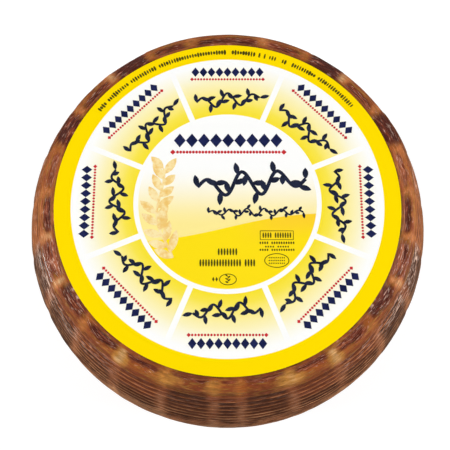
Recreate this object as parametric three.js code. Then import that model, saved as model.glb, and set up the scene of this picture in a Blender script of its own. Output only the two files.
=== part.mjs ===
// Hard goat cheese: a small wheel pressed in a reed basket, with a thin round paper label on its top face.
// Millimetres, +Z up. The wheel stands on the middle of its flat base at the origin, its front towards -Y.
import * as THREE from 'three';
import { mergeVertices } from 'three/addons/utils/BufferGeometryUtils.js';

// Wheel body: a barrel with a flat base and a flat seat for the label
const bellyRadius = 100;
const wheelHeight = 101.7;
const shoulderRadius = 88;
const shoulderDrop = 2.8;
const seatRadius = 81.6;

// Paper label
const labelRadius = 80.5;
const labelThickness = 0.3;
const labelSides = 96;

// Upright stakes of the basket, in degrees, counted from the front to both sides
const stakesPerSide = 12;
const firstStakeAngle = 3.9;
const stakePitch = 14.93;
const stakeHalfWidth = 1.35;
const widestFacet = 7.6;

// Reeds woven round the stakes: rows of grooves below the top edge, and the same above the base
const reedRows = 8;
const reedPitch = 3.65;
const firstGrooveDrop = 3.6;
const reedDepth = 0.8;
const reedSway = 0.5;
const stakeRecess = 0.25;
const stakeEdgeShare = 0.75;
const bellyDrops = [37, 44];

// Furrow that the rim of the basket's base presses into the shoulder, between the stakes.
// Each step is a share of the way from the seat to the lip, and a share of the furrow's depth.
const furrowDepth = 0.6;
const furrowSteps = [[0.2, 0], [0.45, 1], [0.72, 0.4]];
const shoulderRounding = 2.6;

const degree = Math.PI / 180;
const fullTurn = 360;
const halfHeight = wheelHeight / 2;
const lipDrop = firstGrooveDrop - reedPitch / 2;

// Radius of the barrel at a level, given by its drop below the seat
function barrelRadius(drop) {
  const rise = (halfHeight - drop) / (halfHeight - shoulderDrop);
  return bellyRadius - (bellyRadius - shoulderRadius) * rise * rise;
}

// One level of the section. In the columns between the stakes, dent cuts inwards, furrow cuts down,
// and sway is the share of the reeds' small ups and downs. On the stakes, recess cuts inwards.
function level(radius, drop, { dent = 0, furrow = 0, sway = 0, recess = 0 } = {}) {
  return { radius, drop, dent, furrow, sway, recess };
}

// Levels of the upper half, from the axis outwards and down to just above the widest level
function halfSection() {
  const lipRadius = barrelRadius(lipDrop);
  const levels = [level(0, 0), level(seatRadius, 0)];
  for (const [share, depth] of furrowSteps) {
    const radius = seatRadius + (lipRadius - seatRadius) * share;
    levels.push(level(radius, lipDrop * share ** shoulderRounding, { furrow: furrowDepth * depth }));
  }
  levels.push(level(lipRadius, lipDrop, { recess: stakeRecess }));
  for (let row = 0; row < reedRows; row += 1) {
    const groove = firstGrooveDrop + row * reedPitch;
    const crest = groove + reedPitch / 2;
    levels.push(level(barrelRadius(groove), groove, { dent: reedDepth, sway: 1, recess: stakeRecess }));
    levels.push(level(barrelRadius(crest), crest, { sway: 1, recess: stakeRecess }));
  }
  for (const drop of bellyDrops) levels.push(level(barrelRadius(drop), drop, { recess: stakeRecess }));
  return levels;
}

// Angles round the wheel where the section is repeated: the middle and both edges of each stake, and
// enough steps across each column. between runs from 0 on a stake to 1 in a column, and shift is the
// height by which that column's reeds lie off the others.
function stations() {
  const stakes = [];
  for (let side = 0; side < 2 * stakesPerSide; side += 1) {
    const mirrored = side >= stakesPerSide;
    const count = mirrored ? 2 * stakesPerSide - 1 - side : side;
    const angle = firstStakeAngle + count * stakePitch;
    stakes.push(mirrored ? fullTurn - angle : angle);
  }
  const around = [];
  stakes.forEach((angle, number) => {
    const next = number + 1 < stakes.length ? stakes[number + 1] : stakes[0] + fullTurn;
    const shift = reedSway * Math.sin(2.4 * number);
    const start = angle + stakeHalfWidth;
    const width = next - stakeHalfWidth - start;
    const steps = Math.ceil(width / widestFacet);
    around.push({ angle, between: 0, shift: 0 });
    for (let step = 0; step <= steps; step += 1) {
      const inside = step > 0 && step < steps;
      around.push({ angle: start + width * step / steps, between: inside ? 1 : stakeEdgeShare, shift });
    }
  });
  return around;
}

// The section is turned round the axis, then each point takes its own angle, radius and height
function wheelGeometry() {
  const half = halfSection();
  const lower = half.map((row) => ({ ...row, up: 1, base: 0 }));
  const middle = { ...level(bellyRadius, halfHeight, { recess: stakeRecess }), up: 1, base: 0 };
  const upper = half.map((row) => ({ ...row, up: -1, base: wheelHeight })).reverse();
  const rows = [...lower, middle, ...upper];
  const around = stations();
  const outline = rows.map((row) => new THREE.Vector2(row.radius, row.base + row.up * row.drop));
  const geometry = new THREE.LatheGeometry(outline, around.length);
  const position = geometry.getAttribute('position');
  for (let point = 0; point < position.count; point += 1) {
    const row = rows[point % rows.length];
    const { angle, between, shift } = around[Math.floor(point / rows.length) % around.length];
    const radius = row.radius - between * row.dent - (1 - between) * row.recess;
    const drop = row.drop + between * (row.furrow + row.sway * shift);
    const turn = angle * degree;
    position.setXYZ(point, radius * Math.sin(turn), -radius * Math.cos(turn), row.base + row.up * drop);
  }
  return welded(geometry);
}

// Joins the doubled points on the axis and along the seam, so that the body is closed
function welded(geometry) {
  geometry.deleteAttribute('normal');
  geometry.deleteAttribute('uv');
  const closed = mergeVertices(geometry);
  closed.computeVertexNormals();
  return closed;
}

// A thin disc whose lower face lies on the seat
function labelGeometry() {
  const geometry = new THREE.CylinderGeometry(labelRadius, labelRadius, labelThickness, labelSides);
  geometry.rotateX(Math.PI / 2);
  geometry.translate(0, 0, wheelHeight + labelThickness / 2);
  return welded(geometry);
}

function subPart(name, geometry, color, roughness) {
  const material = new THREE.MeshStandardMaterial({ color, roughness, metalness: 0 });
  const mesh = new THREE.Mesh(geometry, material);
  mesh.name = name;
  return mesh;
}

const group = new THREE.Group();
group.add(subPart('cheese_wheel', wheelGeometry(), 0x8c4a22, 0.35));
group.add(subPart('paper_label', labelGeometry(), 0xffde1a, 0.5));

export default group;
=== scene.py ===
# %% [markdown]
# # A basket-pressed wheel of hard goat cheese
#
# The curd of this cheese was pressed in a basket of woven reeds. The basket left its print in the
# rind: smooth upright bands where its stakes stood, and rows of ridges between them. The rind was
# oiled while the cheese aged, so it is brown and glossy. A round printed paper lies on top.
#
# The solids come packed, as a fixed frame. This file builds the fine surfaces around them, in
# metres, and takes its main sizes from the frame, so that they fit.

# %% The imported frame
from math import atan, ceil, cos, hypot, pi, radians, sin
from types import SimpleNamespace

import bpy
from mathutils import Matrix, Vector


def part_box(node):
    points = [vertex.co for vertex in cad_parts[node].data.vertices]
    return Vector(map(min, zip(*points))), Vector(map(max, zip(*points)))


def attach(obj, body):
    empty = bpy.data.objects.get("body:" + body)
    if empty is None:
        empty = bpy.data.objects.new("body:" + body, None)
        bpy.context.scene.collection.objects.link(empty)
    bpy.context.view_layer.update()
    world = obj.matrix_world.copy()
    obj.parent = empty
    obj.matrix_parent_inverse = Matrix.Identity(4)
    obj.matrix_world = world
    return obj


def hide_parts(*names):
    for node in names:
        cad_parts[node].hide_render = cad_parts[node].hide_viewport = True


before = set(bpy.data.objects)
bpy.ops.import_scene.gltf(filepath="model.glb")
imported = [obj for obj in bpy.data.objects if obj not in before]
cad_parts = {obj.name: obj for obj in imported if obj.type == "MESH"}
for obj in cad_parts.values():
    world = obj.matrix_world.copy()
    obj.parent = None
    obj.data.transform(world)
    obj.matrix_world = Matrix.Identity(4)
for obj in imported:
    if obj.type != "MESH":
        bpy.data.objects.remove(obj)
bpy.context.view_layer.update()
wheel_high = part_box("cheese_wheel")[1]
label_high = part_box("paper_label")[1]

# %% [markdown]
# ## Sizes
#
# The seat is the flat top of the wheel, on which the paper lies. Heights on the side are a drop
# below it, because the basket's rows are counted from the edge. The lower half repeats the upper,
# so there a drop is the height above the base.

# %% Sizes of the wheel and the basket's print
MM = 0.001
SEAT_HEIGHT = wheel_high.z
LABEL_TOP = label_high.z
LABEL_RADIUS = label_high.x
BELLY_RADIUS = 100 * MM
SHOULDER_RADIUS = 88 * MM
SHOULDER_DROP = 2.8 * MM
SHOULDER_ROUNDING = 2.6
SEAT_RADIUS = 81.6 * MM

STAKES_PER_SIDE = 12
FIRST_STAKE = 3.9
STAKE_PITCH = 14.93
STAKE_HALF_WIDTH = 1.35
STAKE_RECESS = 0.25 * MM

REED_ROWS = 8
REED_PITCH = 3.65 * MM
FIRST_GROOVE_DROP = 3.6 * MM
REED_DEPTH = 0.8 * MM
REED_SWAY = 0.6 * MM
FURROW_DEPTH = 0.75 * MM
UNEVENNESS = 0.25 * MM
WELD = 0.005 * MM
LIP_DROP = FIRST_GROOVE_DROP - REED_PITCH / 2
print("wheel height", round(SEAT_HEIGHT / MM, 2), "mm, label radius", round(LABEL_RADIUS / MM, 2), "mm")

# %% [markdown]
# ## Formulas made of nodes
#
# Geometry Nodes and materials are both trees of nodes, and a formula takes many of them. They could
# be placed and wired one by one. Here a small class stands for the output of a node, and plain
# arithmetic on it adds the nodes, so that a formula can be read.

# %% The output of a node
class Wire:
    """The output of a node. Arithmetic on wires adds Math nodes to their tree."""

    def __init__(self, tree, socket):
        self.tree = tree
        self.socket = socket

    def __add__(self, other):
        return calc("ADD", self, other)

    def __sub__(self, other):
        return calc("SUBTRACT", self, other)

    def __rsub__(self, other):
        return calc("SUBTRACT", other, self)

    def __mul__(self, other):
        return calc("MULTIPLY", self, other)

    def __truediv__(self, other):
        return calc("DIVIDE", self, other)

    __radd__ = __add__
    __rmul__ = __mul__


# %% Helpers that add nodes
def connect(node, wires):
    """Sets inputs of a node, each given by name or number, to a plain value or to a wire."""
    for key, value in wires.items():
        if isinstance(value, Wire):
            value.tree.links.new(value.socket, node.inputs[key])
        else:
            node.inputs[key].default_value = value


def add_node(tree, kind, wires=None, **settings):
    node = tree.nodes.new(kind)
    for name, value in settings.items():
        setattr(node, name, value)
    connect(node, wires or {})
    return node


def wire(tree, kind, wires=None, output=0, **settings):
    """Adds one node and returns one of its outputs."""
    return Wire(tree, add_node(tree, kind, wires, **settings).outputs[output])


def tree_of(*values):
    return next(value.tree for value in values if isinstance(value, Wire))


def calc(operation, *values):
    """One step of arithmetic on wires and numbers."""
    return wire(tree_of(*values), "ShaderNodeMath", dict(enumerate(values)), operation=operation)


def ramp(value, low, high, to_low=0.0, to_high=1.0):
    """A smooth step: to_low below low, to_high above high."""
    wires = {0: value, 1: low, 2: high, 3: to_low, 4: to_high}
    return wire(value.tree, "ShaderNodeMapRange", wires, interpolation_type="SMOOTHSTEP")


# %% Helpers for vectors and noise
def axes_of(vector):
    """The x, y and z of a vector."""
    node = add_node(vector.tree, "ShaderNodeSeparateXYZ", {0: vector})
    return [Wire(vector.tree, socket) for socket in node.outputs]


def vector_of(x, y, z):
    return wire(tree_of(x, y, z), "ShaderNodeCombineXYZ", {0: x, 1: y, 2: z})


def noise(vector, scale, detail=3.0, roughness=0.5):
    """Soft noise from 0 to 1, about 0.5 on average."""
    wires = {"Vector": vector, "Scale": scale, "Detail": detail, "Roughness": roughness}
    return wire(vector.tree, "ShaderNodeTexNoise", wires)


def centred(value, size):
    """A noise from 0 to 1 turned into a shift to both sides, size wide in all."""
    return (value - 0.5) * size


def from_axis(place):
    """Distance from the wheel's axis."""
    x, y, z = axes_of(place)
    return calc("SQRT", x * x + y * y)


def along_reeds(place, slow, quick, detail, roughness):
    """Noise in streaks that run round the wheel: slow steps a metre along them, quick ones across."""
    x, y, z = axes_of(place)
    return noise(vector_of(x * slow, y * slow, (z - from_axis(place)) * quick), 1.0, detail, roughness)


# %% Helpers for Geometry Nodes
def add_object(name, data):
    thing = bpy.data.objects.new(name, data)
    bpy.context.scene.collection.objects.link(thing)
    return thing


def shape_tree(name, **inputs):
    """An empty tree. Its inputs are named, kind by kind. Returns the tree and the inputs' wires."""
    tree = bpy.data.node_groups.new(name, "GeometryNodeTree")
    tree.interface.new_socket("shape", in_out="OUTPUT", socket_type="NodeSocketGeometry")
    for kind, labels in {"Geometry": "line", **inputs}.items():
        for label in labels.split():
            tree.interface.new_socket(label, in_out="INPUT", socket_type="NodeSocket" + kind)
    sockets = tree.nodes.new("NodeGroupInput").outputs
    return tree, SimpleNamespace(**{socket.name: Wire(tree, socket) for socket in sockets if socket.name})


def moved(shape, spot):
    """Sets each point of a shape to a spot of its own."""
    return wire(shape.tree, "GeometryNodeSetPosition", {"Geometry": shape, "Position": spot})


def finish_tree(shape, material, smooth=True):
    """Every tree ends alike: real faces, smooth or flat shading and one material."""
    tree = shape.tree
    real = wire(tree, "GeometryNodeRealizeInstances", {0: shape})
    shaded = wire(tree, "GeometryNodeSetShadeSmooth", {"Geometry": real, "Shade Smooth": smooth})
    painted = wire(tree, "GeometryNodeSetMaterial", {"Geometry": shaded, "Material": material})
    connect(tree.nodes.new("NodeGroupOutput"), {0: painted})
    print("the tree", tree.name, "has", len(tree.nodes), "nodes")
    return tree


def base_mesh(name, points, numbers=None):
    """A mesh line through points, with named numbers on its points, for a tree to work on."""
    mesh = bpy.data.meshes.new(name)
    mesh.from_pydata(points, [(i, i + 1) for i in range(len(points) - 1)], [])
    for label, values in (numbers or {}).items():
        mesh.attributes.new(label, "FLOAT", "POINT").data.foreach_set("value", values)
    return mesh


def grow(name, mesh, tree, **values):
    """Runs a tree on a mesh and keeps the result as a plain mesh object."""
    piece = add_object(name, mesh)
    modifier = piece.modifiers.new("shape", "NODES")
    modifier.node_group = tree
    for item in tree.interface.items_tree:
        if item.in_out == "INPUT" and item.name in values:
            modifier[item.identifier] = values[item.name]
    graph = bpy.context.evaluated_depsgraph_get()
    grown = bpy.data.meshes.new_from_object(piece.evaluated_get(graph), depsgraph=graph)
    piece.modifiers.remove(modifier)
    piece.data = grown
    grown.name = name
    triangles = sum(len(face.vertices) - 2 for face in grown.polygons)
    print(name, "has", len(grown.vertices), "points and", triangles, "triangles")
    return piece


# %% [markdown]
# ## Colours
#
# A colour is easiest to pick as three numbers from 0 to 255, as a screen shows it. Shader nodes work
# with light, where twice the number is twice the light, so each is converted once.

# %% Colours as light
def paint(red, green, blue):
    """A colour given as on a screen, 0 to 255, as light for a shader."""
    def light(value):
        share = value / 255
        return share / 12.92 if share <= 0.04045 else ((share + 0.055) / 1.055) ** 2.4
    return (light(red), light(green), light(blue), 1.0)


def blend(factor, first, second, mode="MIX"):
    """Mixes two colours. factor 0 gives the first, 1 the second."""
    wires = {0: factor, 6: first, 7: second}
    return wire(tree_of(*wires.values()), "ShaderNodeMix", wires, 2, data_type="RGBA", blend_type=mode)


def colour_run(value, stops):
    """A run of colours along a value. Each stop is a place and a colour as on a screen."""
    node = add_node(value.tree, "ShaderNodeValToRGB", {0: value})
    for place, colour in stops[1:-1]:
        node.color_ramp.elements.new(place)
    for element, (place, colour) in zip(node.color_ramp.elements, stops):
        element.position = place
        element.color = paint(*colour)
    return Wire(value.tree, node.outputs[0])


def new_finish(name):
    """An empty material. Returns it, its tree and its main shader."""
    material = bpy.data.materials.new(name)
    material.use_nodes = True
    tree = material.node_tree
    shader = next(node for node in tree.nodes if node.type == "BSDF_PRINCIPLED")
    return material, tree, shader


def object_place(tree):
    """The place on a piece that is being shaded, in metres from the wheel's foot."""
    return wire(tree, "ShaderNodeTexCoord", output="Object")


# %% [markdown]
# ## The rind's finish
#
# The rind is brown and oily. Its colours could be painted by hand on an image. They follow the
# basket's print, though, so formulas place them, and colour and shape agree. For this the mesh
# carries a few numbers on its points:
#
# - off: degrees from the nearest stake
# - groove: how deep it lies in a reed's groove, from 0 on a ridge to 1
# - tone, dry and stain: how dark its column is, its dryness and the strength of the painted
#   glints on it, and how much old oil its furrow holds
# - gold: how much wax there is beside the nearest stake
# - lens: the share of the way across the furrow on the shoulder
#
# Dark mould grows down the side. The grooves between the ridges are painted darker as shade, and the
# ridges are worn to tan and painted lighter as highlight. Furrows are maroon with old oil, and the
# stakes' bands and the lip keep the amber and gold of the wax. Pale glints are painted in the furrows,
# on the shoulder and along the ridges of the dryer columns, a painted shadow lies along the label's
# edge, and the edge that turns away from the camera is painted darker as shade, except at the front.
# Over the widest level, where the basket pressed less, the rind is tan with faint rows. Streaks run
# along the reeds, because their noise takes slow steps round the wheel and quick steps down its side.

# %% Colours of the rind, from light to dark
PALE = paint(232, 200, 180)
STRAW = paint(220, 182, 130)
TAN = paint(196, 140, 96)
GOLD = paint(200, 140, 62)
APRICOT = paint(200, 124, 70)
ORANGE_TAN = paint(190, 114, 62)
RED_RUST = paint(168, 94, 60)
AMBER = paint(162, 86, 34)
BROWN = paint(130, 70, 38)
RUST = paint(124, 60, 30)
MAROON = paint(130, 60, 37)
UMBER = paint(96, 58, 14)
DARK_RUST = paint(104, 50, 26)
GREY_BROWN = paint(82, 51, 36)
DARK_BROWN = paint(74, 38, 21)
DARK_MAROON = paint(82, 35, 25)


# %% What the colours depend on
def rind_fields(tree):
    """All that is known at a point of the rind. Lengths are in millimetres, off in degrees."""
    place = object_place(tree)
    at = SimpleNamespace(place=place)
    for name in ("off", "groove", "tone", "dry", "stain", "gold", "lens"):
        setattr(at, name, wire(tree, "ShaderNodeAttribute", output="Fac", attribute_name=name))
    x, at.y, at.z = (axis / MM for axis in axes_of(place))
    at.radius = from_axis(place) / MM
    at.drop = calc("MINIMUM", SEAT_HEIGHT / MM - at.z, at.z)
    at.patches = noise(place, 42, 3, 0.55)
    at.blotches = noise(place, 120, 3, 0.6)
    at.grain = noise(place, 520, 4, 0.65)
    at.streaks = along_reeds(place, 130, 640, 4, 0.62)
    at.ripples = along_reeds(place, 320, 1500, 2, 0.5)
    at.off = at.off + centred(at.blotches, 3) + centred(at.streaks, 2.5)
    at.off_seat = ramp(at.radius, 81.5, 83)
    at.column = ramp(at.off, 0.2, 2.8)
    return at


# %% The ground colours of the side, and the mould
MOULD_START = 24
BELLY_START = 28


def side_colour(at):
    """Amber at the lip, brown below it and tan at the widest level."""
    rusty = calc("MAXIMUM", ramp(at.drop, 1, 6), at.column * ramp(at.tone, 0.6, 1, 0, 0.8))
    colour = blend(rusty * ramp(at.tone, 0.2, 0.4, 0.2, 1), AMBER, RUST)
    colour = blend(ramp(at.drop, 6, 20) * ramp(at.tone, 0.2, 0.4, 0.3, 1), colour, BROWN)
    belly = ramp(at.patches + at.streaks * 0.4, 0.5, 0.86, 0.1, 0.85)
    colour = blend(belly * ramp(at.ragged_drop, BELLY_START, 35), colour, TAN)
    colour = blend(ramp(at.blotches, 0.42, 0.72, 0, 0.5), colour, BROWN)
    smooth = ramp(at.tone, 0.35, 0.2, 0, 0.6) * ramp(at.blotches, 0.35, 0.65, 1, 0.2)
    return blend(smooth, colour, APRICOT)


def mould_share(at):
    """How much mould there is. It starts higher in a dark column, and thins out at the belly."""
    start = (1 - at.tone) * MOULD_START + centred(at.patches, -16)
    mottled = ramp(at.patches + centred(at.blotches, 0.5), 0.44, 0.6, 0, 0.85)
    mould = ramp(at.drop - start, 2, 8) * ramp(at.dry, 0.3, 0.7, 0.6, 1)
    return mould * ramp(at.ragged_drop, 37, BELLY_START, mottled, 1) * at.column


# %% The colours of the reeds' rows and the stakes' bands
def row_colour(at, colour, mould, mould_colour):
    """Ridges worn and lit to tan as painted highlight, and grooves painted dark as shade between
    them. Both are fainter at the widest level.
    """
    # Painted highlight, and wear: the ridges turn tan, unevenly, and less where mould grows.
    crest = ramp(at.groove, 0.45, 0.05) * ramp(at.drop, 4, 7) * ramp(at.drop, 33, 30, 0.35, 1)
    worn_and_lit = ramp(at.blotches + at.streaks - at.tone * 0.3, 0.45, 0.9, 0.2, 0.95)
    crest = crest * worn_and_lit * (1 - mould * 0.5)
    colour = blend(crest, colour, blend(ramp(at.drop, 14, 26), ORANGE_TAN, TAN))
    # Painted shade: the grooves darken with their depth, to dark rust, and to the mould's colour where mould
    # grows.
    deep = at.groove * ramp(at.drop, BELLY_START, 33, 1, 1.9)
    faint = ramp(at.patches, 0.4, 0.65, 0.65, 0.2)
    groove_shade = ramp(deep, 0.3, 0.8) * ramp(at.streaks, 0.3, 0.6, 0.6, 1)
    groove_shade = groove_shade * ramp(at.drop, 3, 6.5, 0.2, 1) * ramp(at.drop, 29, 33, 1, faint)
    return blend(groove_shade * at.column, colour, blend(ramp(mould, 0, 0.5), DARK_RUST, mould_colour))


def stake_colour(at, colour):
    """Lighter bands where the stakes stood, and pale painted highlights in streaks on the dryer columns'
    ridges.
    """
    band = (1 - at.column) * ramp(at.blotches, 0.35, 0.65, 0.15, 0.75)
    band = band * ramp(at.streaks, 0.3, 0.6, 0.4, 1)
    tanned = blend(0.42, colour, TAN)
    colour = blend(band, colour, blend(ramp(at.drop, 5, 12), AMBER, tanned))
    # Painted highlights: pale streaks along the ridges of the dryer columns, below the lip.
    dry = at.dry * ramp(at.drop, 3.5, 8) * ramp(at.drop, 24, 11) * ramp(at.patches, 0.3, 0.6, 0.5, 1)
    return blend(dry * ramp(at.ripples + at.streaks * 0.7, 0.86, 1, 0, 0.68), colour, PALE)


# %% The colours of the lip and the shoulder
def lip_colour(at, colour):
    """Streaks of gold and maroon along the lip."""
    lip = ramp(at.drop, 9, 4)
    colour = blend(lip * ramp(at.streaks, 0.5, 0.38, 0, 0.5), colour, GOLD)
    return blend(lip * ramp(at.streaks, 0.52, 0.64, 0, 0.75), colour, MAROON)


def wax_colour(at, colour):
    """Golden wax on the lip beside some stakes, palest in the middle of each patch."""
    lip = ramp(at.drop, 6.5, 1.8) * at.off_seat * ramp(at.z, 30, 60, 0.4, 1)
    wax = at.gold + centred(at.patches, 1) + centred(at.blotches, 0.9) + centred(at.streaks, 0.9)
    hue = blend(ramp(at.y, -75, -45), GOLD, APRICOT)
    colour = blend(lip * ramp(wax, 0.2, 0.8, 0, 0.75), colour, hue)
    return blend(lip * ramp(wax, 0.7, 1.4, 0, 0.85), colour, STRAW)


def lens_noise(at, along, across, detail):
    """Noise that follows the furrow on the shoulder."""
    x, y, z = axes_of(at.place)
    return noise(vector_of(x * along, y * along, at.lens * across), 1, detail, 0.6)


def furrow_colour(at, colour):
    """Oily maroon streaks in the furrows, small painted glints, and a painted shadow along the label's edge.
    """
    stripes = lens_noise(at, 70, 5.5, 4)
    wrinkles = lens_noise(at, 300, 12, 2)
    start = calc("MAXIMUM", ramp(at.radius, 81.6, 82.6), at.stain * ramp(at.radius, 80, 80.8))
    inside = ramp(at.lens + centred(stripes, 1.2), 1.25, 0.75) * ramp(at.off, 0.3, 3.4) * start
    # Painted shade: the oil colour is darker towards the furrow's outer edge.
    depth = stripes + at.stain * 0.12 + ramp(at.lens, 0.55, 0.95, 0, 0.06) - centred(wrinkles, 0.4)
    oil = blend(ramp(depth, 0.4, 0.5), RED_RUST, MAROON)
    colour = blend(inside, colour, blend(ramp(depth, 0.5, 0.62), oil, DARK_MAROON))
    # Painted highlights: pale glints in the furrow, and on the shoulder beside the seat.
    glints = ramp(wrinkles, 0.54, 0.7) * (at.dry * 0.6 + 0.2) * inside
    shoulder_glints = ramp(wrinkles, 0.66, 0.72) * ramp(at.drop, 1.6, 0.6, 0, 0.7) * at.off_seat
    colour = blend(calc("MAXIMUM", glints, shoulder_glints), colour, PALE)
    # Painted shadow: a dark ring along the label's edge, on the upper half only.
    label_edge = LABEL_RADIUS / MM
    rim = ramp(at.radius, label_edge + 1, label_edge + 0.2, 0, 0.7) * ramp(stripes, 0.4, 0.6, 0, 1.3)
    return blend(rim * ramp(at.z, 30, 60) * ramp(at.drop, 0.5, 0.2), colour, UMBER)


# %% The rind's finish
def shading(at):
    """Fine light and dark specks, mottles towards the belly, and painted shade along the edge
    that turns away from the camera, except at the front.
    """
    speck = ramp(at.grain, 0.3, 0.7, 0.9, 1.06) + ramp(at.streaks, 0.3, 0.7, -0.2, 0.2)
    speck = speck + ramp(at.ripples, 0.3, 0.7, -0.14, 0.14)
    mottle = ramp(at.blotches, 0.35, 0.65, -0.24, 0.24) + ramp(at.streaks, 0.35, 0.65, -0.12, 0.12)
    # Painted shade: darker where the surface turns away from the camera, except at the front.
    facing = wire(at.place.tree, "ShaderNodeLayerWeight", output="Facing")
    edge = ramp(facing, 0.78, 0.93) * ramp(at.y, -65, -25, 0, 0.45)
    specks_and_shade = (speck + mottle * ramp(at.drop, 16, 27)) * (1 - edge)
    return wire(specks_and_shade.tree, "ShaderNodeCombineColor", {0: specks_and_shade, 1: specks_and_shade, 2: specks_and_shade})


def rind_colour(at):
    at.ragged_drop = at.drop + centred(at.blotches, 9) + centred(at.patches, 16) - at.dry * 16
    mould = mould_share(at)
    mould_colour = blend(at.dry, DARK_BROWN, GREY_BROWN)
    colour = lip_colour(at, blend(mould, side_colour(at), mould_colour))
    colour = row_colour(at, colour, mould, mould_colour)
    colour = furrow_colour(at, wax_colour(at, stake_colour(at, colour)))
    return blend(1, colour, shading(at), "MULTIPLY")


def rind_finish():
    material, tree, shader = new_finish("oiled_rind")
    at = rind_fields(tree)
    relief = at.streaks * 0.55 + at.ripples * 0.5 + at.grain * 0.2
    bump = wire(tree, "ShaderNodeBump", {"Strength": 1, "Distance": 1.3 * MM, "Height": relief})
    dull = ramp(at.grain, 0.3, 0.75, 0.28, 0.5) + ramp(at.groove, 0.3, 0.9, 0, 0.3)
    connect(shader, {"Base Color": rind_colour(at), "Roughness": dull, "Normal": bump,
                     "Specular IOR Level": 0.16, "Coat Weight": 0.32, "Coat Roughness": 0.14})
    return material


rind = rind_finish()
print("made the finish", rind.name, "with", len(rind.node_tree.nodes), "nodes")

# %% [markdown]
# ## The wheel's section
#
# A wheel is its section turned round its axis. The section here is a line of points from the
# middle of the base, out and up the side, to the middle of the seat. Each point carries what the
# basket did at that level: the depth of the reeds' groove, its share of the way across the shoulder
# and how far it may sway. Rows of points lie on every ridge, so that a ridge stays crisp with few
# faces. The reeds go on over the widest level, but bite less there.

# %% The barrel and its rows of reeds
REED_PHASES = (0.0, 0.16, 0.38, 0.62, 0.84)
BELLY_BITE = 0.45
BITE_LOSS = 0.25
REEDS = (SEAT_HEIGHT / 2 - LIP_DROP) / REED_PITCH
SECTION_NUMBERS = {"groove": 0.0, "shoulder": 0.0, "sway": 0.0, "uneven": 1.0, "way": 1.0}


def barrel_radius(drop):
    """Radius of the barrel at a drop below the seat, or as high above the base."""
    rise = (SEAT_HEIGHT / 2 - drop) / (SEAT_HEIGHT / 2 - SHOULDER_DROP)
    return BELLY_RADIUS - (BELLY_RADIUS - SHOULDER_RADIUS) * rise * rise


LIP_RADIUS = barrel_radius(LIP_DROP)


def section_row(radius, drop, **numbers):
    """A level of the section. Numbers that aren't given stay as on a smooth wall."""
    return {"radius": radius, "drop": drop, **SECTION_NUMBERS, **numbers}


def reed_row(reed):
    """A level of the side, as a count of reeds below the lip. The lowest reeds bit less."""
    drop = LIP_DROP + reed * REED_PITCH
    bite = min(1.0, max(BELLY_BITE, 1.0 - (reed - REED_ROWS + 1) * BITE_LOSS))
    groove = bite * abs(sin(pi * reed)) ** 0.8
    sway = min(1.0, reed, (REEDS - reed) / 2)
    beyond = 1.0 + (drop - LIP_DROP) / (LIP_RADIUS - SEAT_RADIUS)
    return section_row(barrel_radius(drop), drop, shoulder=beyond, groove=groove, sway=sway)


print("a half has", round(REEDS, 1), "reeds, and a lip of", round(LIP_RADIUS / MM, 1), "mm radius")

# %% The section of the wheel
SEAT_STEPS = 3
BASE_STEPS = 24
BASE_RINGS = 6
UPPER_SHOULDER_STEPS = 18
LOWER_SHOULDER_STEPS = 12


def flat_rows(steps, rings):
    """The flat face, from the axis outwards. With rings, the woven base of the basket shows in it."""
    for step in range(steps):
        share = step / steps
        groove = sin(pi * share * rings) ** 2
        yield section_row(SEAT_RADIUS * share, 0.0, groove=groove, uneven=0.0)


def shoulder_rows(steps):
    """The rounded shoulder, from the flat face's edge to the lip."""
    for step in range(steps):
        share = step / steps
        radius = SEAT_RADIUS + (LIP_RADIUS - SEAT_RADIUS) * share
        drop = LIP_DROP * share ** SHOULDER_ROUNDING
        yield section_row(radius, drop, shoulder=share, uneven=min(1.0, share * 4))


def half_section(flat_steps, flat_rings, shoulder_steps, way):
    """Rows of one half, from the axis to just short of the widest level. way is 1 below, -1 above."""
    rows = [*flat_rows(flat_steps, flat_rings), *shoulder_rows(shoulder_steps)]
    for row in range(ceil(REEDS)):
        rows += [reed_row(row + phase) for phase in REED_PHASES if row + phase < REEDS]
    return [{**row, "way": way} for row in rows]


def wheel_section():
    """Both halves joined at the widest level, as a line of points with their numbers."""
    rows = half_section(BASE_STEPS, BASE_RINGS, LOWER_SHOULDER_STEPS, 1.0)
    rows.append(reed_row(REEDS))
    rows += reversed(half_section(SEAT_STEPS, 0, UPPER_SHOULDER_STEPS, -1.0))
    heights = [row["drop"] if row["way"] > 0 else SEAT_HEIGHT - row["drop"] for row in rows]
    points = [(row["radius"], 0.0, height) for row, height in zip(rows, heights)]
    return base_mesh("wheel_section", points, {name: [row[name] for row in rows] for name in SECTION_NUMBERS})


section = wheel_section()
print("the section has", len(section.vertices), "points")

# %% [markdown]
# ## The wheel
#
# The wheel could be modelled by a Spin and sculpted by hand. Its form follows a rule, though, so
# a Geometry Nodes tree turns the section and prints the basket into it in one go. A flat grid is
# bent round: one side counts the steps round the axis, the other the rows of the section. The
# stakes are counted from the front to both sides. Random numbers lift the reeds of each column
# between two stakes, and let each reed bite more or less. The furrow on the shoulder is a lens: it
# is widest between two stakes and runs out beside each.
#
# The lists describe each column, from the front to the back and alike on both sides: how dark it is,
# its dryness and the strength of the painted glints on it, how much old oil its furrow holds, and how
# far the furrow reaches across the shoulder.
# Beyond 1 it runs over the lip. The last two lists are for the stakes: how much wax is beside each,
# and how many degrees it reaches.

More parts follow.
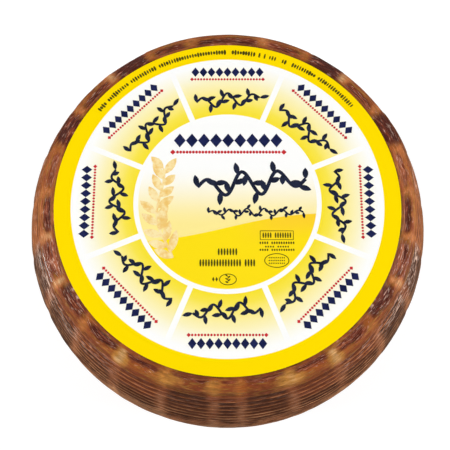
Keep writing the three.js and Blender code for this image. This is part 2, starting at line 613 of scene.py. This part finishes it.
# %% The columns and stakes, from the front to the back
COLUMN_TONES = (0.75, 1, 0.45, 0.55, 0.85, 1, 0.2, 0.27, 0.7, 0.8, 0.9, 0.45, 0.6)
COLUMN_DRY_AND_GLINT = (0.1, 0.1, 0.1, 0.35, 0.8, 1, 0.2, 0.6, 0.2, 0.2, 0.1, 0, 0.1)
FURROW_STAIN = (0, 0.2, 0.3, 0.4, 0.9, -0.1, 0.4, -0.6, 1, 0.3, 1, 0.2, 0.6)
FURROW_REACH = (0.2, 0.2, 0.36, 0.66, 0.68, 0.8, 0.58, 0.5, 1.8, 0.5, 1.8, 0.5, 0.5)
STAKE_WAX = (0.65, 0.9, 1.08, 0.5, 1.15, 0.85, 0.7, 0.4, 0.6, 1.1, 0.5, 0.8)
WAX_REACH = (5, 9, 4.5, 4, 2.8, 3.5, 4, 7, 3, 5, 4, 6)
print("lists for", len(COLUMN_TONES), "columns and", len(STAKE_WAX), "stakes a side")


# %% Reading the section
def mesh_number(tree, name):
    """A named number that the mesh carries on its points."""
    return wire(tree, "GeometryNodeInputNamedAttribute", {"Name": name}, data_type="FLOAT")


def turned_grid(line, steps_round):
    """A grid with a row for each point of the section. Returns it, the turn from 0 to 1 and a reader."""
    tree = line.tree
    row_count = wire(tree, "GeometryNodeAttributeDomainSize", {0: line}, "Point Count")
    wires = {"Size X": 1, "Size Y": 1, "Vertices X": steps_round + 1, "Vertices Y": row_count}
    grid = wire(tree, "GeometryNodeMeshGrid", wires, "Mesh")
    position = wire(tree, "GeometryNodeInputPosition")
    across, along, flat = axes_of(position)
    row = calc("ROUND", (along + 0.5) * (row_count - 1))

    def from_line(value, kind="FLOAT"):
        wires = {"Geometry": line, "Value": value, "Index": row}
        return wire(tree, "GeometryNodeSampleIndex", wires, data_type=kind, domain="POINT")

    spot = from_line(position, "FLOAT_VECTOR")
    return grid, across + 0.5, spot, lambda name: from_line(mesh_number(tree, name))


# %% Counting stakes and columns
def stake_count(given, share, wave):
    """Degrees to the nearest stake, a number for the column, the stake's place and its own number."""
    from_back = 180 - share * 360
    side = 180 - calc("ABSOLUTE", from_back) + wave * 1.6
    count = (side - given.first_stake) / given.stake_pitch
    last = given.stakes_a_side - 1
    nearest = calc("MINIMUM", calc("MAXIMUM", calc("ROUND", count), 0), last)
    off = calc("ABSOLUTE", count - nearest) * given.stake_pitch
    number = calc("MINIMUM", calc("MAXIMUM", calc("FLOOR", count), -1), last)
    way = calc("GREATER_THAN", from_back, 0) * 2 - 1
    number = calc("FLOORED_MODULO", (number + 1) * way, given.stakes_a_side * 2)
    return off, number, nearest, (nearest + 1) * way


def draw_number(given, identity, low, high, extra):
    """A random number that stays the same for the same identity."""
    wires = {2: low, 3: high, "ID": identity, "Seed": given.seed + extra}
    return wire(identity.tree, "FunctionNodeRandomValue", wires, 1, data_type="FLOAT")


def steps_of(number, values):
    """The value that a list has at a whole number. The last value also serves all that follow."""
    node = add_node(number.tree, "GeometryNodeIndexSwitch", data_type="FLOAT")
    for count in range(len(values) - len(node.index_switch_items)):
        node.index_switch_items.new()
    connect(node, dict(enumerate([calc("MINIMUM", number, len(values) - 1), *values])))
    return Wire(number.tree, node.outputs[0])


# %% The furrow, and the roughness of the rind
def lens_furrow(given, off, furrow_reach, shoulder, east, south):
    """The furrow between two stakes: its depth, and the share of the way across it."""
    wave = noise(vector_of(east, south, 0), 9, 4, 0.75)
    beside = calc("MINIMUM", off / (given.stake_pitch / 2), 1)
    reach = calc("POWER", calc("SINE", beside * (pi / 2)), 0.3) * furrow_reach
    across = calc("MINIMUM", shoulder / (reach + 0.12 + centred(wave, 0.7)), 2)
    bowl = calc("SINE", calc("MINIMUM", across, 1) * pi)
    ripple = noise(vector_of(east * 9, south * 9, across * 4), 1, 3) * 1.6 + 0.2
    return bowl * ripple * ramp(off, 0.2, 1.8), across


def roughened(shape, amount):
    """Pushes points out and in along their normals by soft noise, but never below the floor."""
    tree = shape.tree
    here = wire(tree, "GeometryNodeInputPosition")
    outward = wire(tree, "GeometryNodeInputNormal")
    rough = centred(noise(here, 22, 2), 2) + (noise(here, 160, 3) - 0.5)
    rough = rough + (along_reeds(here, 130, 700, 2, 0.5) - 0.5)
    rough = rough * mesh_number(tree, "uneven") * amount
    push = wire(tree, "ShaderNodeVectorMath", {0: outward, "Scale": rough}, operation="SCALE")
    x, y, z = axes_of(wire(tree, "ShaderNodeVectorMath", {0: here, 1: push}, operation="ADD"))
    return moved(shape, vector_of(x, y, calc("MAXIMUM", z, 0)))


# %% The tree that turns the wheel
def column_numbers(given, off, number, nearest, own):
    """What the mesh tells the finish about the column and the stake that a point belongs to."""
    from_front = calc("MINIMUM", number, given.stakes_a_side * 2 - number)
    gold = steps_of(nearest, STAKE_WAX) * draw_number(given, own, 0.8, 1.1, 4)
    gold = gold * ramp(off, steps_of(nearest, WAX_REACH), 0)
    numbers = {"off": off, "gold": gold, "tone": steps_of(from_front, COLUMN_TONES),
               "dry": steps_of(from_front, COLUMN_DRY_AND_GLINT), "stain": steps_of(from_front, FURROW_STAIN)}
    return numbers, steps_of(from_front, FURROW_REACH)


def wheel_tree():
    tree, given = shape_tree("turned_wheel", Int="steps_round stakes_a_side seed", Material="rind",
                             Float="first_stake stake_pitch stake_half_width stake_recess "
                                   "reed_depth reed_sway furrow_depth unevenness")
    shape, share, spot, from_line = turned_grid(given.line, given.steps_round)
    radius, flat, height = axes_of(spot)
    groove, shoulder, sway, uneven, way = (from_line(name) for name in SECTION_NUMBERS)

    angle = share * (2 * pi)
    east, south = calc("SINE", angle), calc("COSINE", angle) * -1
    wave = noise(vector_of(east, south, height * 45), 4, 3) - 0.5
    off, number, nearest, own = stake_count(given, share, wave)
    column = ramp(off, given.stake_half_width * 0.2, given.stake_half_width * 1.5)
    numbers, furrow_reach = column_numbers(given, off, number, nearest, own)

    reed_id = number * 50 + calc("FLOOR", height * (1 / REED_PITCH))
    bite = (draw_number(given, reed_id, 0.7, 1.15, 1) + wave) * (numbers["tone"] * 0.6 + 0.6)
    dent = (groove * given.reed_depth) * (bite * (column * 0.8 + 0.2))
    recess = given.stake_recess * (1 - column) * sway
    lift = draw_number(given, number, -1, 1, 2) + wave * 1.5
    lift = (lift * given.reed_sway) * (sway * column)
    furrow_depth, lens = lens_furrow(given, off, furrow_reach, shoulder, east, south)
    sink = furrow_depth * given.furrow_depth * draw_number(given, number, 0.7, 1.3, 3)
    sink = sink + (1 - uneven) * (dent * 0.5)
    new_radius = radius - (dent + recess) * uneven
    new_height = height + (lift * way + sink * way)

    for name, value in {**numbers, "groove": groove, "uneven": uneven, "lens": lens}.items():
        wires = {"Geometry": shape, "Name": name, "Value": value}
        shape = wire(tree, "GeometryNodeStoreNamedAttribute", wires, data_type="FLOAT", domain="POINT")
    shape = moved(shape, vector_of(new_radius * east, new_radius * south, new_height))
    shape = wire(tree, "GeometryNodeMergeByDistance", {"Geometry": shape, "Distance": WELD})
    return finish_tree(roughened(shape, given.unevenness), given.rind)


# %% The wheel
STEPS_ROUND = 516
WHEEL_SEED = 5
wheel = grow("wheel_body", section, wheel_tree(), steps_round=STEPS_ROUND, stakes_a_side=STAKES_PER_SIDE,
             first_stake=FIRST_STAKE, stake_pitch=STAKE_PITCH, stake_half_width=STAKE_HALF_WIDTH,
             stake_recess=STAKE_RECESS, reed_depth=REED_DEPTH, reed_sway=REED_SWAY,
             furrow_depth=FURROW_DEPTH, unevenness=UNEVENNESS, seed=WHEEL_SEED, rind=rind)
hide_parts("cheese_wheel")
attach(wheel, "root")

# %% [markdown]
# ## The label's print
#
# The print is a set of plain fields: a yellow ring, a white band, eight panels that fade from
# yellow to white with white gaps between them, and a round middle field with a pale sky over a
# yellow meadow. An image could carry them, but would blur close up. All of them follow from the
# distance to the label's middle and the angle round it, so a few formulas draw them sharp.

# %% The label's fields of colour
YELLOW_RING_INNER = 0.9026
PANEL_INNER = 0.5420
DISC_EDGE = 0.5144
PANELS = 8
GAP_HALF_WIDTH = 1.35
EDGE_BLUR = 0.15
HORIZON = -12.5
PANEL_FADE = [(0.54, (250, 226, 45)), (0.60, (250, 230, 80)), (0.65, (253, 236, 128)),
              (0.70, (253, 240, 165)), (0.75, (253, 244, 193)), (0.80, (253, 249, 225)),
              (0.87, (254, 254, 252))]


def middle_field(x, y, white):
    """A pale sky over a yellow meadow with a gentle swell."""
    sky = blend(ramp(y, 18, -12), white, paint(254, 236, 150))
    hill = y - x * 0.12 - calc("SINE", x * 0.055) * 2.2
    far = ramp(x, 0, 30) * ramp(hill, -26, -14)
    meadow = blend(far, paint(254, 224, 24), paint(254, 210, 46))
    return blend(ramp(hill, HORIZON, HORIZON - EDGE_BLUR), sky, meadow)


def label_finish():
    """The fields, from the outer ring inwards. Lengths are in millimetres, radius is a share."""
    material, tree, shader = new_finish("printed_paper")
    place = object_place(tree)
    x, y, z = (axis / MM for axis in axes_of(place))
    radius = from_axis(place) / LABEL_RADIUS
    half_panel = pi / PANELS
    from_middle = calc("PINGPONG", calc("ARCTAN2", y, x), half_panel)
    to_gap = radius * calc("SINE", half_panel - from_middle) * (LABEL_RADIUS / MM)
    blur = EDGE_BLUR * MM / LABEL_RADIUS
    white, yellow = paint(254, 254, 252), paint(255, 221, 0)
    in_gap = ramp(to_gap, GAP_HALF_WIDTH + EDGE_BLUR, GAP_HALF_WIDTH - EDGE_BLUR)
    panels = blend(in_gap, colour_run(radius, PANEL_FADE), white)
    middle = middle_field(x, y, white)
    fields = yellow
    for edge, inner in ((YELLOW_RING_INNER, panels), (PANEL_INNER, white), (DISC_EDGE, middle)):
        fields = blend(ramp(radius, edge + blur, edge - blur), fields, inner)
    connect(shader, {"Base Color": fields, "Roughness": 0.5, "Specular IOR Level": 0.02})
    return material


printed_paper = label_finish()
print("made the finish", printed_paper.name, "with", len(printed_paper.node_tree.nodes), "nodes")

# %% [markdown]
# ## The label
#
# The label is a thin disc of paper that lies flat on the seat. A cylinder would do for its shape.
# Here it is built from rings, so that a hair of a round on its upper edge catches the light.

# %% The label
LABEL_RINGS = 24
LABEL_SIDES = 240
LABEL_ROUND = 0.08 * MM


def label_rings():
    """Radius and height of each ring, from the lower face round the rim to the upper face."""
    shares = [step / LABEL_RINGS for step in range(1, LABEL_RINGS)]
    rings = [(LABEL_RADIUS * share, SEAT_HEIGHT) for share in shares]
    rings += [(LABEL_RADIUS, SEAT_HEIGHT), (LABEL_RADIUS, LABEL_TOP - LABEL_ROUND)]
    rings.append((LABEL_RADIUS - LABEL_ROUND, LABEL_TOP))
    return rings + [(LABEL_RADIUS * share, LABEL_TOP) for share in reversed(shares)]


def label_mesh():
    """A closed disc: the rings, and a point in the middle of each face."""
    rings = label_rings()
    turns = [2 * pi * side / LABEL_SIDES for side in range(LABEL_SIDES)]
    points = [(0.0, 0.0, SEAT_HEIGHT)]
    for radius, height in rings:
        points += [(radius * cos(turn), radius * sin(turn), height) for turn in turns]
    points.append((0.0, 0.0, LABEL_TOP))
    top = 1 + (len(rings) - 1) * LABEL_SIDES
    faces = []
    for side in range(LABEL_SIDES):
        after = (side + 1) % LABEL_SIDES
        faces.append((0, 1 + after, 1 + side))
        for low in range(1, top, LABEL_SIDES):
            high = low + LABEL_SIDES
            faces.append((low + side, low + after, high + after, high + side))
        faces.append((top + side, top + after, len(points) - 1))
    mesh = bpy.data.meshes.new("label_sheet")
    mesh.from_pydata(points, [], faces)
    mesh.materials.append(printed_paper)
    print("the label has", len(points), "points and", len(faces), "faces")
    return mesh


label = add_object("label_sheet", label_mesh())
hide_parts("paper_label")
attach(label, "root")

# %% [markdown]
# ## The print's small marks
#
# Ink lies on paper as a film, so each printed mark is a very thin solid that sits half in the sheet.
# All of them are ornaments: lozenges, beads, vines and rows of ticks. They could be drawn one by one,
# but they repeat and follow paths, so two trees make them. The first sets flat marks along a path.
# The second draws a tapering stem along a path and sets leaves on it, left and right in turn. Both
# can repeat their result round the label, once for each panel.

# %% Paths for the marks
INK_FILM = 0.1 * MM
LEAF_CORNERS = 14
END_SWING = 0.12


def printed_path(points):
    """A path on the label's face, through points given in millimetres from its middle."""
    return base_mesh("path", [(x * MM, y * MM, LABEL_TOP) for x, y in points])


def arc(middle, size, start, end, steps):
    """Points on an ellipse, from a start angle to an end angle in degrees."""
    turns = [radians(start + (end - start) * step / steps) for step in range(steps + 1)]
    return [(middle[0] + size[0] * cos(turn), middle[1] + size[1] * sin(turn)) for turn in turns]


def winding(start, end, waves, swing, steps=60):
    """A line from start to end that swings to both sides, less at its two ends."""
    along = (end[0] - start[0], end[1] - start[1])
    points = []
    for share in (step / steps for step in range(steps + 1)):
        swell = sin(pi * (END_SWING + (1 - 2 * END_SWING) * share))
        off = swing * sin(2 * pi * waves * share) * swell / hypot(*along)
        points.append((start[0] + along[0] * share - along[1] * off,
                       start[1] + along[1] * share + along[0] * off))
    return points


# %% Inks
def ink_finish(name, colour, second):
    """Ink that lies a little thicker here and thinner there."""
    material, tree, shader = new_finish(name)
    density = ramp(noise(object_place(tree), 260, 3, 0.6), 0.35, 0.7)
    ink = blend(density, paint(*colour), paint(*second))
    connect(shader, {"Base Color": ink, "Roughness": 0.45, "Specular IOR Level": 0.05})
    return material


navy = ink_finish("navy_ink", (34, 40, 84), (22, 28, 66))
dark = ink_finish("dark_ink", (38, 44, 66), (24, 28, 46))
red = ink_finish("red_ink", (206, 52, 58), (190, 34, 44))
olive = ink_finish("olive_ink", (92, 86, 22), (66, 62, 18))
gold = ink_finish("gold_ink", (253, 234, 178), (243, 200, 112))
print("made", len(bpy.data.materials), "finishes so far")


# %% Helpers of both trees
def path_spots(path, count):
    """Points spread along a path, and the angle that the path has at each."""
    node = add_node(path.tree, "GeometryNodeCurveToPoints", {"Curve": path, "Count": count}, mode="COUNT")
    ahead, aside, up = axes_of(Wire(path.tree, node.outputs["Tangent"]))
    return Wire(path.tree, node.outputs["Points"]), calc("ARCTAN2", aside, ahead)


def set_on_spots(spots, shape, **wires):
    wires.update(Points=spots, Instance=shape)
    return wire(spots.tree, "GeometryNodeInstanceOnPoints", wires)


def copied_round(shape, copies):
    """The same shape again and again, turned round the label's middle."""
    tree = shape.tree
    line = wire(tree, "GeometryNodeMeshLine", {"Count": copies, "Offset": (0, 0, 0)})
    turn = wire(tree, "GeometryNodeInputIndex") * (2 * pi) / copies
    return set_on_spots(line, shape, Rotation=vector_of(0, 0, turn))


def flat_cylinder(tree, corners, radius, thickness):
    wires = {"Vertices": corners, "Radius": radius, "Depth": thickness}
    return wire(tree, "GeometryNodeMeshCylinder", wires, "Mesh")


# %% The tree of a row of marks
def marks_tree():
    tree, given = shape_tree("row_of_marks", Int="count sides copies seed", Material="ink",
                             Float="length width thickness unevenness missing")
    path = wire(tree, "GeometryNodeMeshToCurve", {0: given.line})
    spots, turn = path_spots(path, given.count)
    number = wire(tree, "GeometryNodeInputIndex")
    mark = flat_cylinder(tree, given.sides, 0.5, given.thickness)
    low, high = 1 - given.unevenness, given.unevenness + 1
    length = given.length * draw_number(given, number, low, high, 1)
    width = given.width * draw_number(given, number, low, high, 2)
    kept = calc("GREATER_THAN", draw_number(given, number, 0, 1, 3), given.missing)
    row = set_on_spots(spots, mark, Selection=kept, Rotation=vector_of(0, 0, turn),
                       Scale=vector_of(width, length, 1))
    return finish_tree(copied_round(row, given.copies), given.ink, smooth=False)


# %% The tree of a vine
def vine_stem(given, path):
    """A flat ribbon along a path, thinner towards both ends."""
    tree = path.tree
    factor = wire(tree, "GeometryNodeSplineParameter", output="Factor")
    width = 1 - given.taper * (1 - calc("SINE", factor * pi))
    stem = wire(tree, "GeometryNodeSetCurveRadius", {"Curve": path, "Radius": width})
    stem = wire(tree, "GeometryNodeSetCurveNormal", {"Curve": stem}, mode="Z_UP")
    wires = {"Width": given.stem_width, "Height": given.thickness}
    ribbon = wire(tree, "GeometryNodeCurvePrimitiveQuadrilateral", wires)
    wires = {"Curve": stem, "Profile Curve": ribbon, "Fill Caps": True}
    return wire(tree, "GeometryNodeCurveToMesh", wires)


def vine_leaf(given):
    """A round disc pulled into a leaf that starts at the origin and is pointed at both ends."""
    tree = given.thickness.tree
    leaf = flat_cylinder(tree, LEAF_CORNERS, 1, given.thickness)
    x, y, z = axes_of(wire(tree, "GeometryNodeInputPosition"))
    return moved(leaf, vector_of((x + 1) * 0.5, y * calc("ABSOLUTE", y) * 0.5, z))


def vine_tree():
    tree, given = shape_tree("leafy_vine", Int="leaves copies seed", Material="ink",
                             Float="stem_width taper leaf_length leaf_width lean thickness unevenness")
    path = wire(tree, "GeometryNodeMeshToCurve", {0: given.line})
    stem = vine_stem(given, path)
    spots, turn = path_spots(path, calc("MAXIMUM", given.leaves, 2))
    number = wire(tree, "GeometryNodeInputIndex")
    side = 1 - calc("MODULO", number, 2) * 2
    turn = turn + side * (given.lean * draw_number(given, number, 0.8, 1.2, 1))
    length = given.leaf_length * draw_number(given, number, 1 - given.unevenness, 1, 2)
    thinner = draw_number(given, number, 0.6, 0.9, 3)
    kept = calc("LESS_THAN", number, given.leaves)
    leaves = set_on_spots(spots, vine_leaf(given), Selection=kept, Rotation=vector_of(0, 0, turn),
                          Scale=vector_of(length, given.leaf_width, thinner))
    both = tree.nodes.new("GeometryNodeJoinGeometry")
    connect(both, {0: stem})
    connect(both, {0: leaves})
    vine = copied_round(Wire(tree, both.outputs[0]), given.copies)
    return finish_tree(vine, given.ink, smooth=False)


# %% Printing the marks
PANEL_SEED = 3
LEAF_UNEVENNESS = 0.3
row_of_marks = marks_tree()
leafy_vine = vine_tree()


def print_piece(name, tree, points, ink, **values):
    """Grows one printed piece on the label and ties it to the wheel."""
    values = {"thickness": INK_FILM, "copies": 1, "seed": PANEL_SEED, **values}
    piece = grow(name, printed_path(points), tree, ink=ink, **values)
    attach(piece, "root")


def print_marks(name, points, ink, count, length, width, **values):
    values = {"sides": 4, "unevenness": 0.0, "missing": 0.0, **values}
    print_piece(name, row_of_marks, points, ink, count=count, length=length * MM, width=width * MM, **values)


def print_vine(name, points, ink, stem_width, leaves=0, leaf_length=1.0, leaf_width=1.0, **values):
    values = {"lean": 0.9, "taper": 0.65, "unevenness": LEAF_UNEVENNESS, **values}
    print_piece(name, leafy_vine, points, ink, stem_width=stem_width * MM, leaves=leaves,
                leaf_length=leaf_length * MM, leaf_width=leaf_width * MM, **values)


# %% Ornaments of the panels
print_marks("panel_lozenges", [(-15.6, 65.9), (15.6, 65.9)], navy, 9, 5, 3.8, copies=PANELS)
print_marks("panel_beads", [(-15.6, 62.1), (15.6, 62.1)], red, 23, 1.2, 1.1, sides=8, copies=PANELS)
print_marks("panel_ends", [(-17.2, 62.1), (17.2, 62.1)], red, 2, 1.9, 1.9, copies=PANELS)
print_vine("panel_vine", winding((-15, 50), (15.5, 52.4), 2.5, 3.6), dark, 1.1, 15, 5.2, 2, copies=PANELS)

# %% Ornaments of the middle field
print_marks("middle_lozenges", [(-22.6, 30.3), (23.2, 30.3)], navy, 9, 7, 5.6)
print_marks("middle_beads", [(-23.6, 24.4), (24.4, 24.4)], red, 33, 1.5, 1.35, sides=10)
print_marks("middle_ends", [(-25.8, 24.4), (26.6, 24.4)], red, 2, 2.6, 2.6)
print_vine("middle_vine", winding((-14, 7), (36.5, 11), 3, 6), dark, 1.7, 17, 7.2, 2.8)
print_vine("lower_vine", winding((-9, -5.4), (35, -5.2), 5.5, 1.9), dark, 0.8, 26, 3.2, 1.4)
print_vine("gold_sprig", winding((-25, -27), (-31, 16), 0.6, 5), gold, 1.1, 17, 11, 4, lean=0.75)

# %% Rows of ticks
RIM_LINE = 76.6
print_marks("rim_ticks", arc((0, 0), (RIM_LINE, RIM_LINE), 143, 38, 80), olive, 108, 2.3, 1.05, sides=8,
            unevenness=0.3, missing=0.12)
print_marks("short_ticks", [(-4, -24.1), (4, -24.1)], olive, 7, 3.5, 0.9, sides=8)
print_marks("long_ticks", [(-12.3, -29.3), (12.1, -29.3)], olive, 20, 3.6, 0.9, sides=8, missing=0.08)

# %% A frame, with rows of ticks in and below it
FRAME_LEFT, FRAME_RIGHT = 15, 30.2
FRAME_TOP, FRAME_BOTTOM = -14.2, -18.4
OUTLINE_WIDTH = 0.35
NOTE_LINES = (("box_ticks", -16.3, 1.4, 2.8), ("bold_ticks", -19.9, 0, 1.3),
              ("upper_note", -21.7, 2.5, 0.9), ("lower_note", -23.2, 0, 1.1))
corners = [(FRAME_LEFT, FRAME_TOP), (FRAME_RIGHT, FRAME_TOP),
           (FRAME_RIGHT, FRAME_BOTTOM), (FRAME_LEFT, FRAME_BOTTOM)]
print_vine("box_outline", [*corners, corners[0]], olive, OUTLINE_WIDTH, taper=0.0)
for name, level, inset, height in NOTE_LINES:
    left, right = FRAME_LEFT + inset, FRAME_RIGHT - inset
    count = round(right - left)
    print_marks(name, [(left, level), (right, level)], olive, count, height, 0.75, sides=8, missing=0.1)

# %% Two ovals
print_vine("large_oval", arc((22.4, -28.2), (5.5, 3.2), 0, 360, 40), olive, OUTLINE_WIDTH, taper=0.0)
for number, level in enumerate((-26.9, -28.2, -29.5)):
    print_marks(f"oval_ticks_{number}", [(19, level), (25.8, level)], olive, 9, 0.8, 0.6)
print_vine("small_oval", arc((0.2, -37), (3.8, 2.5), 0, 360, 40), olive, OUTLINE_WIDTH, taper=0.0)
print_vine("small_sprig", [(0.2, -38.6), (0.2, -35.6)], olive, 0.3, 5, 1.7, 0.7)
print_marks("small_lozenges", [(-6.4, -36.9), (-4.9, -36.9)], olive, 2, 2.2, 1.1)

# %% [markdown]
# ## Camera, light and floor
#
# The camera stands where the photograph's stood: about 380 mm from the label's middle, 72 degrees
# above it. Its place could be found by eye. It was fitted to the label's rings and the outline,
# so that the proportions are true.

# %% The camera
PICTURE = 450
FOCAL_PIXELS = 818.8
SENSOR_WIDTH = 36
CAMERA_DISTANCE = 379.9 * MM
CAMERA_ELEVATION = radians(72.206)
LABEL_ABOVE_MIDDLE = 23.64
LABEL_RIGHT_OF_MIDDLE = 2.5
back, up = CAMERA_DISTANCE * cos(CAMERA_ELEVATION), CAMERA_DISTANCE * sin(CAMERA_ELEVATION)
steeper = atan(LABEL_ABOVE_MIDDLE / FOCAL_PIXELS)

view = bpy.data.cameras.new("camera")
view.sensor_width = SENSOR_WIDTH
view.lens = SENSOR_WIDTH * FOCAL_PIXELS / PICTURE
view.shift_x = -LABEL_RIGHT_OF_MIDDLE / PICTURE
view.clip_start = 0.01
camera = add_object("camera", view)
camera.location = (0.0, -back, LABEL_TOP + up)
camera.rotation_euler = (pi / 2 - CAMERA_ELEVATION - steeper, 0.0, 0.0)
bpy.context.scene.camera = camera
print("the camera's lens is", round(view.lens, 1), "mm")

# %% [markdown]
# The light is a white room with soft lamps, as in a studio. The large lamps aren't mirrored in the
# gloss, because the real rind shows small glints and no broad white stripes. Two small low lamps at
# the sides are mirrored, and give these glints. The room is dark below the floor, so that nothing
# glossy mirrors white ground.

# %% The room
DARK_ROOM = 0.03
WHITE_ROOM = 0.4
DIM_CEILING = 0.1
room = bpy.data.worlds.new("studio")
room.use_nodes = True
x, y, z = axes_of(wire(room.node_tree, "ShaderNodeTexCoord", output="Generated"))
walls = ramp(z, -0.1, 0.0, DARK_ROOM, WHITE_ROOM)
ceiling = ramp(z, 0.3, 0.7, 0.0, WHITE_ROOM - DIM_CEILING)
connect(room.node_tree.nodes["Background"], {0: walls - ceiling})
bpy.context.scene.world = room
bpy.context.scene.view_settings.view_transform = "Standard"

# %% The lamps: name, power, size, place, and whether the gloss mirrors it
LAMPS = (("lamp_left", 10.8, 0.9, (-1.2, 0, 0.95), False),
         ("lamp_right", 10.8, 0.9, (1.2, 0, 0.95), False),
         ("fill_lamp", 6, 1.6, (0, 0, 1.5), False),
         ("front_lamp", 0.9, 0.9, (0, -1.2, 0.5), False),
         ("low_lamp_left", 3.6, 0.2, (-1, -0.1, 0.2), True),
         ("low_lamp_right", 3.6, 0.2, (1, -0.1, 0.2), True))
MIDDLE = Vector((0, 0, SEAT_HEIGHT / 2))

for name, power, size, place, mirrored in LAMPS:
    glow = bpy.data.lights.new(name, "AREA")
    glow.energy = power
    glow.size = size
    lamp = add_object(name, glow)
    lamp.location = place
    lamp.visible_camera = False
    lamp.visible_glossy = mirrored
    lamp.rotation_euler = (MIDDLE - Vector(place)).to_track_quat("-Z", "Y").to_euler()
print("set", len(LAMPS), "lamps")

# %% The floor
FLOOR_REACH = 20
FLOOR_GLOW = 0.79
FLOOR_GREY = (0.3, 0.3, 0.3, 1)
WHITE = (1, 1, 1, 1)
floor_mesh = bpy.data.meshes.new("floor")
signs = ((-1, -1), (1, -1), (1, 1), (-1, 1))
floor_mesh.from_pydata([(x * FLOOR_REACH, y * FLOOR_REACH, 0) for x, y in signs], [], [(0, 1, 2, 3)])
floor_paint, tree, shader = new_finish("pale_floor")
connect(shader, {"Base Color": FLOOR_GREY, "Roughness": 0.9, "Emission Color": WHITE,
                 "Emission Strength": FLOOR_GLOW})
floor_mesh.materials.append(floor_paint)
floor = add_object("floor", floor_mesh)
floor.visible_glossy = False
